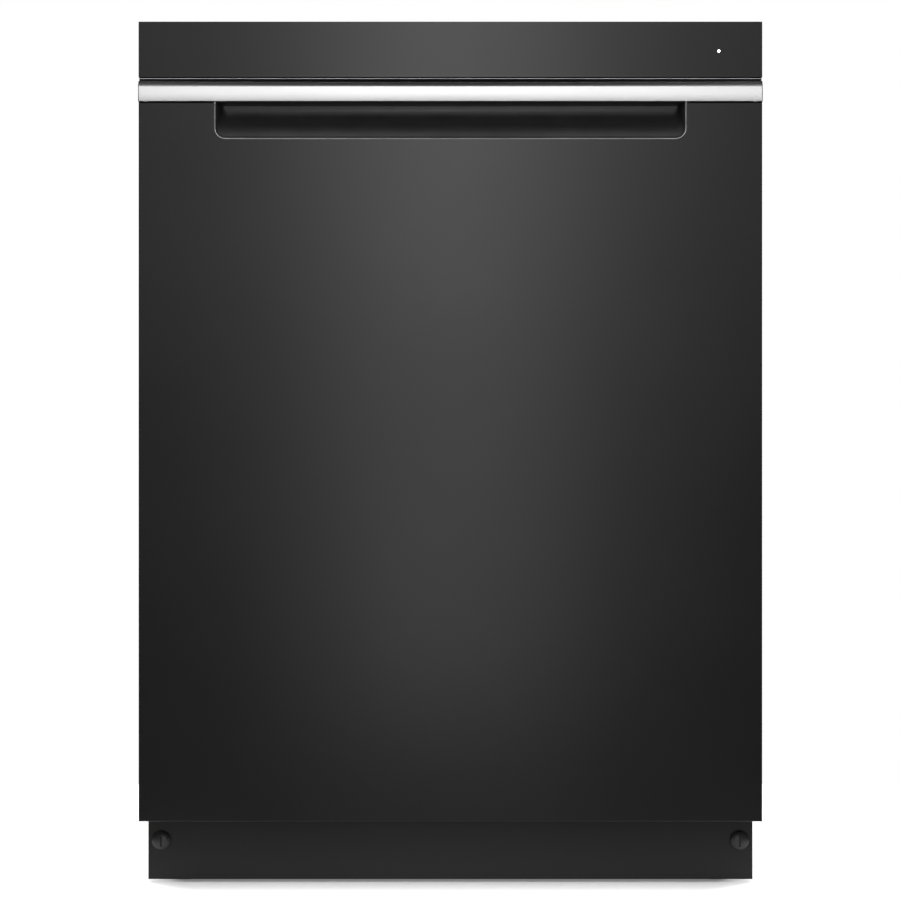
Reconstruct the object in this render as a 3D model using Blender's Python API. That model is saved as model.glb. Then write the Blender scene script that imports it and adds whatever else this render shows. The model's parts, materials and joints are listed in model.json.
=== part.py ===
"""Built-in dishwasher, modelled as the separate pieces it is assembled from.

Metres, +Z up. The front faces -Y, and +X is on the right of someone who faces the door.
The origin is the middle of the footprint, on the floor. Every piece is drawn at rest: the
door shut, both racks in, and every button released.
"""

import math

import bmesh
import bpy
from mathutils import Vector

# Driving dimensions
DEPTH = 0.622                   # handle strip to the back of the base
HEIGHT = 0.845                  # floor to the top edge of the door
STRIP_HALF = 0.3030             # half the width of the handle strip, the widest piece
DOOR_HALF = 0.3027              # half the width of the door and the console
TUB_HALF = 0.2870               # half the outer width of the tub
KICK_HALF = 0.3000              # half the width of the toe kick
GAP = 0.0003                    # between pieces that rest on each other

# Planes from front to back
FRONT_Y = -DEPTH / 2            # face of the handle strip
BACK_Y = DEPTH / 2              # back of the base
DOOR_Y = FRONT_Y + 0.002        # face of the door skin and of the console
LINER_Y = -0.2580               # tub side of the inner panel
LINER_SHEET = 0.0012
DOOR_BACK_Y = LINER_Y - LINER_SHEET - GAP
FLANGE_Y = -0.2480              # front of the tub's flange
KICK_Y = -0.2390                # face of the toe kick
HINGE_Y = DOOR_Y + 0.035
HINGE_Z = 0.0980

# Heights on the front
DOOR_BOTTOM = 0.0685
DOOR_TOP = 0.7663
STRIP_BOTTOM = 0.7677
STRIP_BEND = 0.7821
STRIP_TOP = 0.7882
CONSOLE_BOTTOM = 0.7913
KICK_BOTTOM = 0.0030
KICK_TOP = 0.0850

# Finger pocket
POCKET_HALF = 0.2296
POCKET_BOTTOM = 0.7306
POCKET_CORNER = 0.0110
POCKET_BACK_Y = DOOR_Y + 0.0330
POCKET_WALL = 0.0015

# Tub and what closes it
TUB_SHEET = 0.0012
TUB_BOTTOM = 0.1150
TUB_FLOOR = 0.1165
TUB_TOP = 0.8160
TUB_BACK = 0.2935
FLANGE_HALF = 0.2970
FLANGE_BOTTOM = 0.1060
FLANGE_TOP = 0.8355
LINER_HALF = 0.2990
LINER_BOTTOM = 0.0920
LINER_TOP = 0.8400
STRIKE_Z = 0.8298

# Base
BASE_HALF = 0.2968
BASE_FRONT = -0.2320
BASE_BOTTOM = 0.0200
BASE_WALL = 0.0030
BASE_FLOOR = 0.0025
BASE_TOP = TUB_BOTTOM - 0.0004
EAR_INNER = 0.2890              # inner face of the ears that carry the door's hinge pins
LEG_X = 0.2650
LEG_YS = {"front": -0.2000, "rear": 0.2750}
SCREW_X = 0.2870
SCREW_Z = 0.0416
SCREW_HEAD = 0.00975

# Wash system
SUMP_Y = -0.0200
SUMP_RADIUS = 0.1040
HUB_Y = 0.0300                  # axis of the three spray arms
CUP_Y = -0.0650                 # axis of the cylindrical filter
CUP_RADIUS = 0.0345
FLOAT_XY = (-0.2050, -0.1950)

# Racks
WIRE = 0.0040
RACK_HALF = 0.2500
RACK_FRONT = -0.2250
RACK_BACK = 0.2550
LOWER_RACK_Z = 0.1455
UPPER_RACK_Z = 0.4950
RAIL_Z = 0.5600
WHEEL_RADIUS = 0.0180
WHEEL_YS = {"front": -0.1600, "rear": 0.1600}
WHEEL_Z = TUB_FLOOR + 0.0005 + WHEEL_RADIUS

SEGMENTS = 32

COLOURS = {                     # base colour, metallic, roughness
    "black_steel": ((0.018, 0.018, 0.019), 0.0, 0.34),
    "black_gloss": ((0.010, 0.010, 0.011), 0.0, 0.16),
    "satin_steel": ((0.74, 0.74, 0.73), 1.0, 0.30),
    "tub_steel": ((0.60, 0.60, 0.60), 1.0, 0.28),
    "plated_steel": ((0.52, 0.53, 0.54), 1.0, 0.42),
    "black_plastic": ((0.022, 0.022, 0.023), 0.0, 0.50),
    "grey_plastic": ((0.30, 0.31, 0.32), 0.0, 0.45),
    "rack_nylon": ((0.45, 0.46, 0.48), 0.0, 0.42),
    "rubber": ((0.030, 0.030, 0.031), 0.0, 0.80),
    "felt": ((0.050, 0.050, 0.052), 0.0, 0.95),
    "lens": ((0.92, 0.94, 0.96), 0.0, 0.10),
}


def material(name):
    """The Principled material of one finish, made the first time it is asked for."""
    found = bpy.data.materials.get(name)
    if found:
        return found
    colour, metallic, roughness = COLOURS[name]
    made = bpy.data.materials.new(name)
    made.use_nodes = True
    shader = made.node_tree.nodes["Principled BSDF"]
    shader.inputs["Base Color"].default_value = (*colour, 1.0)
    shader.inputs["Metallic"].default_value = metallic
    shader.inputs["Roughness"].default_value = roughness
    return made


def from_bmesh(name, bm):
    """An object at the world origin that holds the mesh."""
    bmesh.ops.recalc_face_normals(bm, faces=bm.faces)
    mesh = bpy.data.meshes.new(name)
    bm.to_mesh(mesh)
    bm.free()
    made = bpy.data.objects.new(name, mesh)
    bpy.context.collection.objects.link(made)
    return made


def boxes(name, corners):
    """One mesh of separate boxes, each given by its lowest and highest corner."""
    bm = bmesh.new()
    for low, high in corners:
        made = bmesh.ops.create_cube(bm, size=1.0)["verts"]
        for vert in made:
            for axis in range(3):
                vert.co[axis] = high[axis] if vert.co[axis] > 0 else low[axis]
    return from_bmesh(name, bm)


def box(name, low, high):
    return boxes(name, [(low, high)])


def extrusion(name, outline, axis, spans):
    """A flat outline drawn across `axis` and extruded over each (start, end) of spans."""
    bm = bmesh.new()
    for start, end in spans:
        caps = []
        for level in (start, end):
            points = []
            for first, second in outline:
                point = [first, second]
                point.insert("XYZ".index(axis), level)
                points.append(bm.verts.new(point))
            caps.append(points)
        count = len(outline)
        bm.faces.new(caps[0])
        bm.faces.new(caps[1])
        for i in range(count):
            j = (i + 1) % count
            bm.faces.new((caps[0][i], caps[0][j], caps[1][j], caps[1][i]))
    return from_bmesh(name, bm)


def arc(centre, radius, start, end, steps):
    """Points on an arc, its angles in degrees."""
    points = []
    for i in range(steps + 1):
        angle = math.radians(start + (end - start) * i / steps)
        points.append((centre[0] + radius * math.cos(angle), centre[1] + radius * math.sin(angle)))
    return points


def rounded(low, high, radius, steps=3):
    """A rectangle with round corners, anticlockwise."""
    corners = [
        ((high[0] - radius, low[1] + radius), -90),
        ((high[0] - radius, high[1] - radius), 0),
        ((low[0] + radius, high[1] - radius), 90),
        ((low[0] + radius, low[1] + radius), 180),
    ]
    points = []
    for centre, start in corners:
        points += arc(centre, radius, start, start + 90, steps)
    return points


def rod(name, axis, centre, radius, start, end, segments=SEGMENTS):
    """A cylinder along `axis`; centre gives the other two coordinates in order."""
    circle = arc(centre, radius, 0, 360 - 360 / segments, segments - 1)
    return extrusion(name, circle, axis, [(start, end)])


def turned(name, profile, centre, segments=SEGMENTS, axis="Z"):
    """Turns (radius, height) points about a line through centre, parallel to `axis`."""
    bm = bmesh.new()
    rings = []
    for radius, height in profile:
        count = 1 if radius == 0 else segments
        ring = []
        for i in range(count):
            angle = 2 * math.pi * i / segments
            flat = [centre[0] + radius * math.cos(angle), centre[1] + radius * math.sin(angle)]
            flat.insert("XYZ".index(axis), height)
            ring.append(bm.verts.new(flat))
        rings.append(ring)
    closed = profile[0][0] > 0
    pairs = list(zip(rings, rings[1:]))
    if closed:
        pairs.append((rings[-1], rings[0]))
    for lower, upper in pairs:
        for i in range(segments):
            j = (i + 1) % segments
            corners = []
            for ring, order in ((lower, (i, j)), (upper, (j, i))):
                corners += [ring[k] for k in order] if len(ring) > 1 else [ring[0]]
            bm.faces.new(corners)
    return from_bmesh(name, bm)


def pipe(name, points, radius):
    """A round tube with filled ends along a list of points."""
    curve = bpy.data.curves.new(name, "CURVE")
    curve.dimensions = "3D"
    curve.bevel_depth = radius
    curve.bevel_resolution = 2
    curve.use_fill_caps = True
    spline = curve.splines.new("POLY")
    spline.points.add(len(points) - 1)
    for target, point in zip(spline.points, points):
        target.co = (*point, 1.0)
    made = bpy.data.objects.new(name, curve)
    bpy.context.collection.objects.link(made)
    return baked(made)


def baked(source):
    """The object with its modifiers, or its curve, turned into a plain mesh."""
    graph = bpy.context.evaluated_depsgraph_get()
    mesh = bpy.data.meshes.new_from_object(source.evaluated_get(graph))
    if source.type == "MESH":
        source.modifiers.clear()
        source.data = mesh
        return source
    name = source.name
    bpy.data.objects.remove(source)
    made = bpy.data.objects.new(name, mesh)
    bpy.context.collection.objects.link(made)
    return made


def combine(target, others, operation):
    """Joins the others to the target, or cuts them out of it, and removes them."""
    for other in others:
        step = target.modifiers.new(operation, "BOOLEAN")
        step.operation = operation
        step.solver = "EXACT"
        step.object = other
        baked(target)
        bpy.data.objects.remove(other)
    return target


def join(target, *others):
    return combine(target, others, "UNION")


def cut(target, *cutters):
    return combine(target, cutters, "DIFFERENCE")


def finish(piece, finish_name, origin=None, parent=None):
    """Sets a piece's material, shading, origin and parent."""
    piece.data.materials.clear()
    piece.data.materials.append(material(finish_name))
    piece.data.shade_smooth()
    piece.data.set_sharp_from_angle(angle=math.radians(32))
    if origin:
        shift = Vector(origin)
        for vert in piece.data.vertices:
            vert.co -= shift
        piece.location = shift
    if parent:
        piece.parent = parent
        piece.location -= world_place(parent)
    return piece


def world_place(thing):
    """Where an empty is, adding up the places of its parents."""
    place = thing.location.copy()
    while thing.parent:
        thing = thing.parent
        place += thing.location
    return place


def joint_empty(name, place, parent=None):
    """An empty on a joint's axis, to carry the pieces that move together."""
    made = bpy.data.objects.new(name, None)
    bpy.context.collection.objects.link(made)
    made.empty_display_size = 0.05
    made.location = place
    if parent:
        made.parent = parent
        made.location -= world_place(parent)
    return made


def sides():
    """The two sides, as a name and a sign along X."""
    return (("left", -1), ("right", 1))


def span(sign, inner, outer):
    """Lowest and highest x of something between inner and outer on one side."""
    return min(sign * inner, sign * outer), max(sign * inner, sign * outer)


# Base, feet and toe kick

def make_base():
    base = box("base_frame", (-BASE_HALF, BASE_FRONT, BASE_BOTTOM), (BASE_HALF, BACK_Y, BASE_TOP))
    inside = box("cutter", (-BASE_HALF + BASE_WALL, BASE_FRONT + BASE_WALL, BASE_BOTTOM + BASE_FLOOR),
                 (BASE_HALF - BASE_WALL, BACK_Y - BASE_WALL, BASE_TOP + 0.01))
    cut(base, inside)
    ear_inner, ear_outer, ear_top = EAR_INNER, 0.2965, 0.1055
    ears = []
    holes = []
    for name, sign in sides():
        low, high = span(sign, ear_inner, ear_outer)
        ears.append(box("ear", (low, HINGE_Y - 0.0160, KICK_TOP + 0.0005),
                        (high, BASE_FRONT + 0.0070, ear_top)))
        low, high = span(sign, ear_inner - 0.005, ear_outer + 0.005)
        holes.append(rod("cutter", "X", (HINGE_Y, HINGE_Z), 0.0046, low, high, 16))
        holes.append(rod("cutter", "Y", (sign * SCREW_X, SCREW_Z), 0.0046,
                         BASE_FRONT - 0.01, BASE_FRONT + 0.01, 16))
        for place in LEG_YS.values():
            holes.append(rod("cutter", "Z", (sign * LEG_X, place), 0.0066,
                             BASE_BOTTOM - 0.01, BASE_BOTTOM + 0.01, 16))
    hose_way = rod("cutter", "Y", (-0.2300, 0.0700), 0.0200, BACK_Y - 0.01, BACK_Y + 0.01, 20)
    join(base, *ears)
    cut(base, *holes, hose_way)
    finish(base, "black_plastic")
    for name, sign in sides():
        pin_low, pin_high = span(sign, 0.2806, 0.2972)
        pin = rod("hinge_pin_" + name, "X", (HINGE_Y, HINGE_Z), 0.0042, pin_low, pin_high, 16)
        head_low, head_high = span(sign, 0.2970, 0.2990)
        head = rod("head", "X", (HINGE_Y, HINGE_Z), 0.0072, head_low, head_high, 16)
        finish(join(pin, head), "plated_steel")


def make_legs():
    profile = [(0, 0), (0.0190, 0), (0.0190, 0.0060), (0.0100, 0.0100), (0.0100, 0.0190),
               (0.0060, 0.0190), (0.0060, 0.0380), (0, 0.0380)]
    for row, place in LEG_YS.items():
        for name, sign in sides():
            leg = turned(f"leg_{row}_{name}", profile, (sign * LEG_X, place), 24)
            finish(leg, "black_plastic", origin=(sign * LEG_X, place, 0))


def make_toe_kick():
    front, back = KICK_Y, BASE_FRONT - 0.0005
    sheet = 0.0015
    panel = box("toe_kick_panel", (-KICK_HALF, front, KICK_BOTTOM), (KICK_HALF, back, KICK_TOP))
    hollow = box("cutter", (-KICK_HALF + sheet, front + sheet, KICK_BOTTOM + sheet),
                 (KICK_HALF - sheet, back + 0.01, KICK_TOP - sheet))
    holes = [rod("cutter", "Y", (sign * SCREW_X, SCREW_Z), 0.0046, front - 0.01, front + 0.01, 16)
             for name, sign in sides()]
    finish(cut(panel, hollow, *holes), "black_steel")
    head_back = KICK_Y - GAP
    crown = 0.0046
    dome = [(SCREW_HEAD * math.cos(math.radians(a)), head_back - 0.0012 - crown * math.sin(math.radians(a)))
            for a in (0, 18, 36, 54, 72)]
    profile = [(0, BASE_FRONT + 0.0070), (0.0040, BASE_FRONT + 0.0070), (0.0040, head_back),
               (SCREW_HEAD, head_back), *dome, (0, head_back - 0.0012 - crown)]
    for name, sign in sides():
        place = (sign * SCREW_X, SCREW_Z)
        screw = turned("toe_kick_screw_" + name, profile, place, 28, axis="Y")
        slot = box("cutter", (place[0] - 0.0009, head_back - 0.0100, SCREW_Z - 0.0060),
                   (place[0] + 0.0009, head_back - 0.0025, SCREW_Z + 0.0060))
        finish(cut(screw, slot), "black_plastic", origin=(place[0], KICK_Y, SCREW_Z))


# Tub, its seal, insulation and fixings

def make_tub():
    inner_half = TUB_HALF - TUB_SHEET
    inner_top = TUB_TOP - TUB_SHEET
    tub = box("tub", (-TUB_HALF, FLANGE_Y, TUB_BOTTOM), (TUB_HALF, TUB_BACK, TUB_TOP))
    flange = box("flange", (-FLANGE_HALF, FLANGE_Y, FLANGE_BOTTOM),
                 (FLANGE_HALF, FLANGE_Y + 0.0015, FLANGE_TOP))
    inside = box("cutter", (-inner_half, FLANGE_Y - 0.01, TUB_FLOOR),
                 (inner_half, TUB_BACK - TUB_SHEET, inner_top))
    sump_hole = rod("cutter", "Z", (0, SUMP_Y), SUMP_RADIUS + 0.0005, TUB_BOTTOM - 0.01, TUB_FLOOR + 0.01)
    float_hole = rod("cutter", "Z", FLOAT_XY, 0.0046, TUB_BOTTOM - 0.01, TUB_FLOOR + 0.01, 12)
    finish(cut(join(tub, flange), inside, sump_hole, float_hole), "tub_steel")


def make_gasket():
    back = FLANGE_Y - GAP
    ring = box("tub_gasket", (-0.2948, LINER_Y + 0.0003, 0.1065), (0.2948, back, 0.8240))
    hole = box("cutter", (-0.2868, -0.3, 0.1140), (0.2868, -0.2, 0.8165))
    finish(cut(ring, hole), "rubber")


def make_blanket():
    front = FLANGE_Y + 0.0050
    outer_half, outer_back, outer_top = 0.2955, TUB_BACK + 0.0090, TUB_TOP + 0.0085
    blanket = box("insulation_blanket", (-outer_half, front, TUB_BOTTOM + GAP),
                  (outer_half, outer_back, outer_top))
    inside = box("cutter", (-TUB_HALF - GAP, front - 0.01, 0),
                 (TUB_HALF + GAP, TUB_BACK + GAP, TUB_TOP + GAP))
    finish(cut(blanket, inside), "felt")


def make_tub_fixings():
    plate_y = FLANGE_Y - GAP
    strike = box("strike_plate", (-0.0200, plate_y - 0.0015, 0.8250), (0.0200, plate_y, 0.8346))
    tongue = box("tongue", (-0.0060, -0.2845, STRIKE_Z - 0.0022),
                 (0.0060, plate_y - 0.0005, STRIKE_Z + 0.0022))
    finish(join(strike, tongue), "plated_steel")
    leg_y = FLANGE_Y + 0.0015 + GAP
    for name, sign in sides():
        low, high = span(sign, 0.1500, 0.1900)
        bracket = box("mounting_bracket_" + name, (low, leg_y, 0.8380), (high, -0.2000, 0.8400))
        leg = box("leg", (low, leg_y, 0.8262), (high, leg_y + 0.0015, 0.8390))
        holes = [rod("cutter", "Z", (x, -0.2130), 0.0026, 0.83, 0.85, 12)
                 for x in (low + 0.010, high - 0.010)]
        finish(cut(join(bracket, leg), *holes), "plated_steel")


def make_springs():
    for name, sign in sides():
        centre = (sign * 0.2810, 0.0600)
        spring = rod("door_spring_" + name, "Y", centre, 0.0090, -0.1850, -0.0300, 16)
        hooks = [rod("hook", "Y", centre, 0.0020, -0.2200, -0.1840, 8),
                 rod("hook", "Y", centre, 0.0020, -0.0310, 0.0100, 8)]
        finish(join(spring, *hooks), "plated_steel")


# Wash system

def make_sump():
    profile = [(0, 0.0450), (0.0800, 0.0450), (SUMP_RADIUS, 0.1000), (SUMP_RADIUS, 0.1168),
               (0.1120, 0.1168), (0.1120, 0.1183), (0.1010, 0.1183), (0.1010, 0.1005),
               (0.0780, 0.0475), (0, 0.0475)]
    sump = turned("sump", profile, (0, SUMP_Y))
    post = rod("post", "Z", (0, HUB_Y), 0.0120, 0.0465, 0.1255, 20)
    finish(join(sump, post), "black_plastic")
    plate = rod("filter_plate", "Z", (0, SUMP_Y), 0.1080, 0.1186, 0.1200)
    post_hole = rod("cutter", "Z", (0, HUB_Y), 0.0130, 0.11, 0.13, 20)
    cup_hole = rod("cutter", "Z", (0, CUP_Y), CUP_RADIUS + 0.0006, 0.11, 0.13)
    finish(cut(plate, post_hole, cup_hole), "tub_steel")
    wall = 0.0020
    cup_profile = [(0, 0.0600), (CUP_RADIUS, 0.0600), (CUP_RADIUS, 0.1203), (0.0385, 0.1203),
                   (0.0385, 0.1215), (CUP_RADIUS - wall, 0.1215), (CUP_RADIUS - wall, 0.0620), (0, 0.0620)]
    cup = turned("filter_cup", cup_profile, (0, CUP_Y), 28)
    grip = box("grip", (-0.0335, CUP_Y - 0.0030, 0.1160), (0.0335, CUP_Y + 0.0030, 0.1268))
    finish(join(cup, grip), "grey_plastic", origin=(0, CUP_Y, 0.1203))


def spray_arm(name, reach, low, high, hub_low, hub_high, parent=None):
    """A blade with round tips that narrows from a central hub."""
    root, tip = 0.0160, 0.0090
    outline = arc((reach - tip, 0), tip, -90, 90, 5)
    outline += [(0.03, root), (-0.03, root)]
    outline += arc((tip - reach, 0), tip, 90, 270, 5)
    outline += [(-0.03, -root), (0.03, -root)]
    outline = [(x, y + HUB_Y) for x, y in outline]
    arm = extrusion(name, outline, "Z", [(low, high)])
    hub = rod("hub", "Z", (0, HUB_Y), 0.0190, hub_low, hub_high, 24)
    return finish(join(arm, hub), "grey_plastic", origin=(0, HUB_Y, hub_low), parent=parent)


def make_wash_system():
    spray_arm("lower_spray_arm", 0.2250, 0.1315, 0.1405, 0.1262, 0.1430)
    spray_arm("top_spray_arm", 0.1200, 0.7790, 0.7870, 0.7760, 0.7900)
    heater_z = TUB_FLOOR + 0.0062
    steps = 6
    loop = rounded((-0.1750, -0.1850), (0.1750, 0.2000), 0.0600, steps)
    gap_at = 2 * (steps + 1)                # the loop is open at the back, on the right
    ends = ([(0.0250, 0.1850), (0.0350, 0.2000)], [(0.0650, 0.2000), (0.0750, 0.1850)])
    route = ends[0] + loop[gap_at:] + loop[:gap_at] + ends[1]
    finish(pipe("heating_element", [(x, y, heater_z) for x, y in route], 0.0035), "plated_steel")
    bend = arc((0.2530, 0.7730), 0.0300, 0, 90, 4)
    riser = [(0, 0.2830, TUB_FLOOR + 0.0005)] + [(0, y, z) for y, z in bend] + [(0, HUB_Y, 0.8030)]
    tube = pipe("feed_tube", riser, 0.0070)
    nozzle = rod("nozzle", "Z", (0, HUB_Y), 0.0110, 0.7905, 0.8110, 16)
    finish(join(tube, nozzle), "grey_plastic")


def make_pumps():
    centre = (SUMP_Y, 0.0720)
    motor = rod("circulation_pump", "X", centre, 0.0360, 0.1180, 0.2000, 24)
    neck = rod("neck", "X", centre, 0.0120, 0.0990, 0.1190, 12)
    cap = rod("cap", "X", centre, 0.0280, 0.1990, 0.2120, 24)
    finish(join(motor, neck, cap), "grey_plastic")
    centre = (SUMP_Y, 0.0640)
    motor = rod("drain_pump", "X", centre, 0.0240, -0.1700, -0.1180, 20)
    neck = rod("neck", "X", centre, 0.0100, -0.1190, -0.0970, 12)
    spout = rod("spout", "Y", (-0.1400, 0.0700), 0.0090, SUMP_Y, SUMP_Y + 0.0600, 12)
    finish(join(motor, neck, spout), "grey_plastic")
    floor = BASE_BOTTOM + BASE_FLOOR + GAP
    valve = box("inlet_valve", (-0.2350, -0.2150, floor), (-0.1950, -0.1650, 0.0700))
    port = rod("port", "Y", (-0.2150, 0.0480), 0.0120, -0.1660, -0.1380, 16)
    coil = rod("coil", "Z", (-0.2150, -0.1900), 0.0140, 0.0690, 0.0980, 16)
    finish(join(valve, port, coil), "grey_plastic")
    junction = box("junction_box", (0.1650, -0.2220, floor), (0.2450, -0.1650, 0.0750))
    gland = rod("gland", "Y", (0.2050, 0.0480), 0.0110, -0.1660, -0.1500, 16)
    finish(join(junction, gland), "plated_steel")
    slide, stop = 0.0040, 0.0140
    dome = [(stop * math.cos(math.radians(a)), 0.1210 + 0.0070 * math.sin(math.radians(a)))
            for a in (0, 30, 60)]
    profile = [(0, 0.1000), (slide, 0.1000), (slide, 0.1170), (stop, 0.1170), *dome, (0, 0.1280)]
    finish(turned("float", profile, FLOAT_XY, 20), "grey_plastic", origin=(*FLOAT_XY, TUB_FLOOR))


# Racks

def wire_basket(name, bottom, side_top, end_top, xs, ys):
    """Crossing U-shaped wires tied together by one rim, the cross wires a little lower."""
    front, back = RACK_FRONT, RACK_BACK
    lift = 0.0008

    def loop(low, high, floor, top):
        return [(low, floor), (high, floor), (high, top), (high - WIRE, top),
                (high - WIRE, floor + WIRE), (low + WIRE, floor + WIRE), (low + WIRE, top), (low, top)]

    cross = extrusion(name, loop(-RACK_HALF, RACK_HALF, bottom, side_top), "Y",
                      [(y - WIRE / 2, y + WIRE / 2) for y in ys])
    along = extrusion("along", loop(front, back, bottom + lift, end_top), "X",
                      [(x - WIRE / 2, x + WIRE / 2) for x in xs])
    edge = 0.0005
    rim = box("rim", (-RACK_HALF - edge, front - edge, end_top - WIRE),
              (RACK_HALF + edge, back + edge, end_top + edge))
    inner = WIRE + edge
    hole = box("cutter", (-RACK_HALF + inner, front + inner, 0), (RACK_HALF - inner, back - inner, 1))
    return join(cross, along, cut(rim, hole))


def spread(start, end, count):
    return [start + (end - start) * i / (count - 1) for i in range(count)]


def make_lower_rack():
    carrier = joint_empty("lower_rack_slide", (0, 0, WHEEL_Z))
    ys = spread(-0.1600, 0.1600, 5) + [0.2300, -0.2100]
    rack = wire_basket("lower_rack", LOWER_RACK_Z, 0.2600, 0.2605, spread(-0.2280, 0.2280, 7), sorted(ys))
    thin, tine_top = 0.0002, 0.2250
    tines = [((x - WIRE / 2, y - WIRE / 2 + thin, LOWER_RACK_Z + 0.001),
              (x + WIRE / 2, y + WIRE / 2 - thin, tine_top))
             for y in spread(-0.0800, 0.1600, 4) for x in spread(-0.1900, 0.1900, 6)]
    join(rack, boxes("tines", tines))
    for name, sign in sides():
        for place in WHEEL_YS.values():
            low, high = span(sign, 0.2440, 0.2495)
            plate = box("plate", (low, place - 0.0060, WHEEL_Z - 0.0060),
                        (high, place + 0.0060, LOWER_RACK_Z + 0.0120))
            low, high = span(sign, 0.2450, 0.2630)
            join(rack, join(plate, rod("axle", "X", (place, WHEEL_Z), 0.0040, low, high, 12)))
    finish(rack, "rack_nylon", origin=(0, 0, WHEEL_Z), parent=carrier)
    for row, place in WHEEL_YS.items():
        for name, sign in sides():
            inner, outer = 0.2510, 0.2610
            profile = [(0.0046, sign * inner), (WHEEL_RADIUS - 0.0015, sign * inner),
                       (WHEEL_RADIUS, sign * (inner + 0.0015)), (WHEEL_RADIUS, sign * (outer - 0.0015)),
                       (WHEEL_RADIUS - 0.0015, sign * outer), (0.0046, sign * outer)]
            wheel = turned(f"rack_wheel_{row}_{name}", profile, (place, WHEEL_Z), 24, axis="X")
            finish(wheel, "grey_plastic", origin=(sign * 0.2560, place, WHEEL_Z), parent=carrier)
    return carrier


def make_silverware_basket(carrier):
    low, high = (-0.1200, -0.2150, 0.1504), (0.1200, -0.1400, 0.2600)
    wall, cells = 0.0020, 3
    basket = box("silverware_basket", low, high)
    width = (high[0] - low[0] - wall * (cells + 1)) / cells
    holes = []
    for i in range(cells):
        start = low[0] + wall + i * (width + wall)
        holes.append(((start, low[1] + wall, low[2] + wall),
                      (start + width, high[1] - wall, high[2] + 0.01)))
    cut(basket, boxes("cutter", holes))
    middle = (low[1] + high[1]) / 2
    outline = [(-0.0480, 0.2500), (-0.0480, 0.3250), (0.0480, 0.3250), (0.0480, 0.2500),
               (0.0380, 0.2500), (0.0380, 0.3150), (-0.0380, 0.3150), (-0.0380, 0.2500)]
    foot = width / 2 + wall / 2
    outline = [(math.copysign(abs(x) - 0.0430 + foot, x), z) for x, z in outline]
    handle = extrusion("handle", outline, "Y", [(middle - 0.0050, middle + 0.0050)])
    bars = [box("bar", (sign * foot - 0.0045, low[1] + 0.0005, 0.2480),
                (sign * foot + 0.0045, high[1] - 0.0005, 0.2560)) for sign in (-1, 1)]
    join(basket, *bars, handle)
    finish(basket, "grey_plastic", origin=(0, middle, low[2]), parent=carrier)


def make_upper_rack():
    rail_low, rail_high = RAIL_Z - 0.0125, RAIL_Z + 0.0125
    track_low, track_high = RAIL_Z - 0.0150, RAIL_Z + 0.0150
    rails = joint_empty("upper_rail_slide", (0, 0, RAIL_Z))
    for name, sign in sides():
        back = TUB_HALF - TUB_SHEET - GAP
        low, high = span(sign, 0.2730, back)
        track = box("upper_track_" + name, (low, -0.2350, track_low), (high, 0.2700, track_high))
        low, high = span(sign, 0.2000, back - 0.0015)
        slot = box("cutter", (low, -0.3, track_low + 0.0015), (high, 0.3, track_high - 0.0015))
        finish(cut(track, slot), "tub_steel")
        low, high = span(sign, 0.2690, 0.2830)
        rail = box("upper_rail_" + name, (low, -0.2350, rail_low), (high, 0.2350, rail_high))
        low, high = span(sign, 0.2000, 0.2815)
        slot = box("cutter", (low, -0.3, rail_low + 0.0015), (high, 0.3, rail_high - 0.0015))
        finish(cut(rail, slot), "tub_steel", origin=(0, 0, RAIL_Z), parent=rails)
    carrier = joint_empty("upper_rack_slide", (0, 0, RAIL_Z))
    ys = spread(-0.2100, 0.2400, 7)
    rack = wire_basket("upper_rack", UPPER_RACK_Z, 0.6050, 0.6055, spread(-0.2280, 0.2280, 7), ys)
    for name, sign in sides():
        low, high = span(sign, 0.2455, 0.2510)
        join(rack, box("rail_plate", (low, -0.0200, RAIL_Z - 0.0100), (high, 0.2200, RAIL_Z + 0.0100)))
        low, high = span(sign, 0.2480, 0.2805)
        for place in (0.0, 0.2000):
            join(rack, rod("roller", "X", (place, RAIL_Z), 0.0095, low, high, 16))
    hub = rod("hub", "Z", (0, HUB_Y), 0.0160, 0.4780, 0.4960, 16)
    manifold = pipe("manifold", [(0, HUB_Y, 0.4870), (0, 0.2640, 0.4870)], 0.0070)
    join(rack, hub, manifold)
    finish(rack, "rack_nylon", origin=(0, 0, RAIL_Z), parent=carrier)
    spray_arm("middle_spray_arm", 0.2250, 0.4600, 0.4690, 0.4570, 0.4765, parent=carrier)
    inner, hinge_z = -0.2430, 0.5860
    shelf = box("cup_shelf", (inner, -0.1300, hinge_z - 0.0020), (-0.1500, 0.1600, hinge_z + 0.0020))
    openings = [((x, y, 0.5), (x + 0.0330, y + 0.0420, 0.7))
                for x in (inner + 0.0080, inner + 0.0500) for y in spread(-0.1220, 0.1100, 5)]
    cut(shelf, boxes("cutter", openings))
    finish(shelf, "rack_nylon", origin=(inner, 0, hinge_z), parent=carrier)


# Door

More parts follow.
